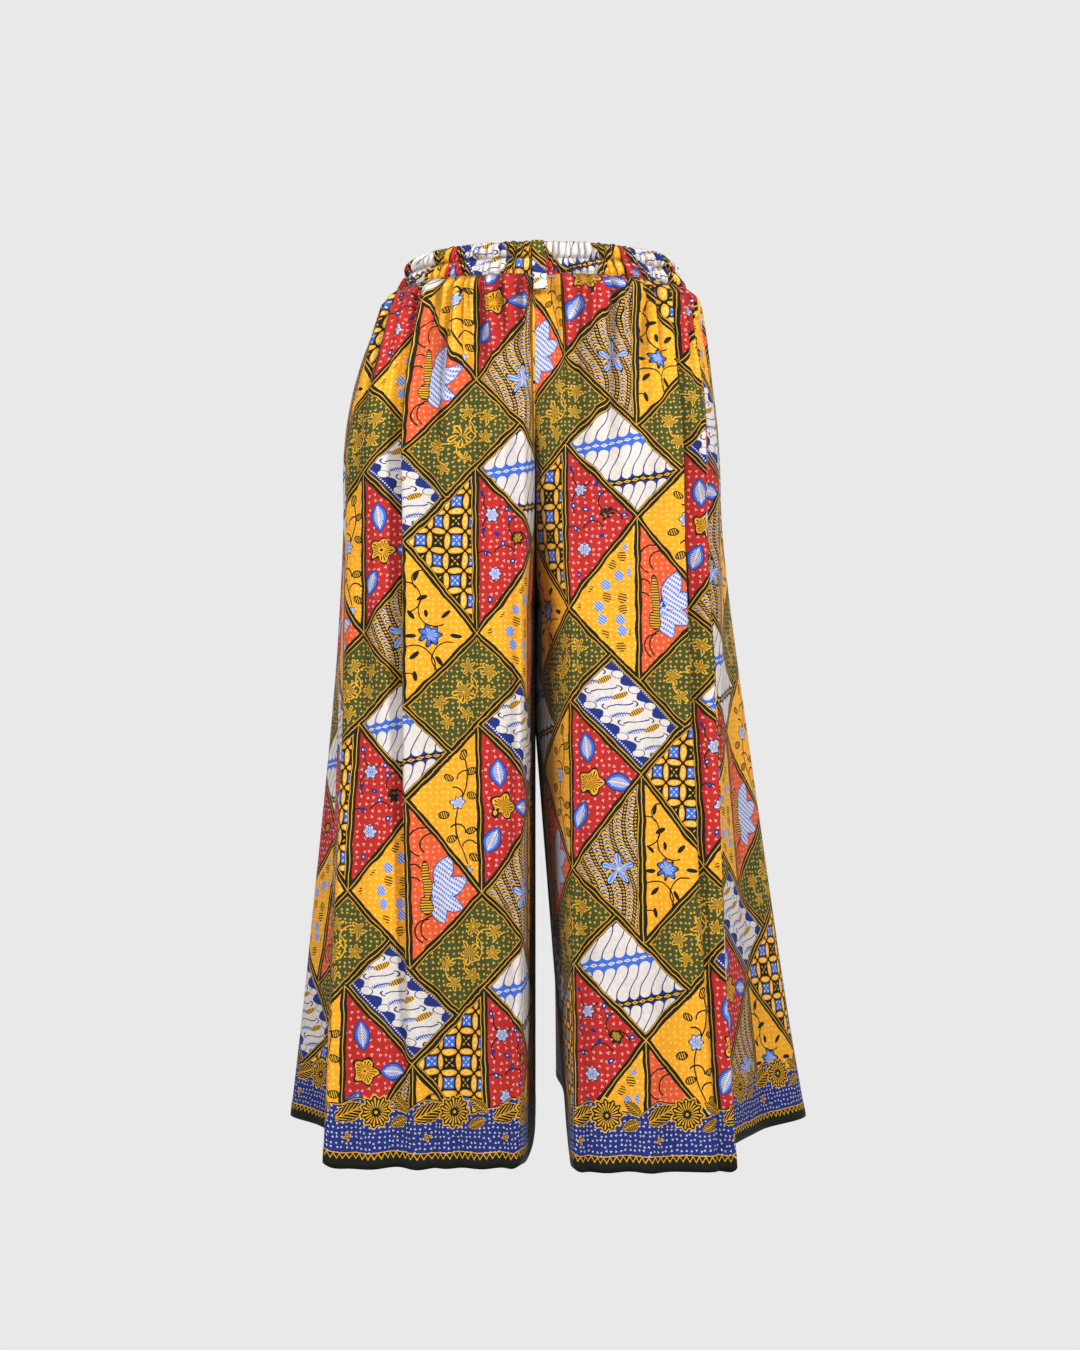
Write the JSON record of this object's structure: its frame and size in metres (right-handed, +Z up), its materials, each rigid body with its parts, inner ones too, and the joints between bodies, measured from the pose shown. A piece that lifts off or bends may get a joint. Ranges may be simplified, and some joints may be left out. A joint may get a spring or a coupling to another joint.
{
  "type": "palazzo pants",
  "caption": "Hollow wide-leg trousers with a gathered elastic waistband, pleated folds, flared open legs and a small centre tab, filled out as worn.",
  "frame": {"origin": "middle of the waist ring, half way up the waistband, where the wearer's waist holds the trousers", "axes": "+Z up along the legs towards the waist, -Y out of the front, +X towards the wearer's left"},
  "size_m": [0.58, 0.462, 0.9605],
  "materials": {
    "batik_cotton": "thin plain-weave cotton, dull, printed in a patchwork batik of red, yellow, orange, olive, navy and off-white",
    "batik_band": "the same printed cotton, doubled over elastic and finely gathered",
    "batik_tab": "folded strip of the same printed cotton, mostly white and blue"
  },
  "bodies": {
    "root": {"right_front": "batik_cotton", "right_back": "batik_cotton", "left_front": "batik_cotton", "left_back": "batik_cotton", "waistband": "batik_band", "centre_tab": "batik_tab"}
  },
  "joints": []
}
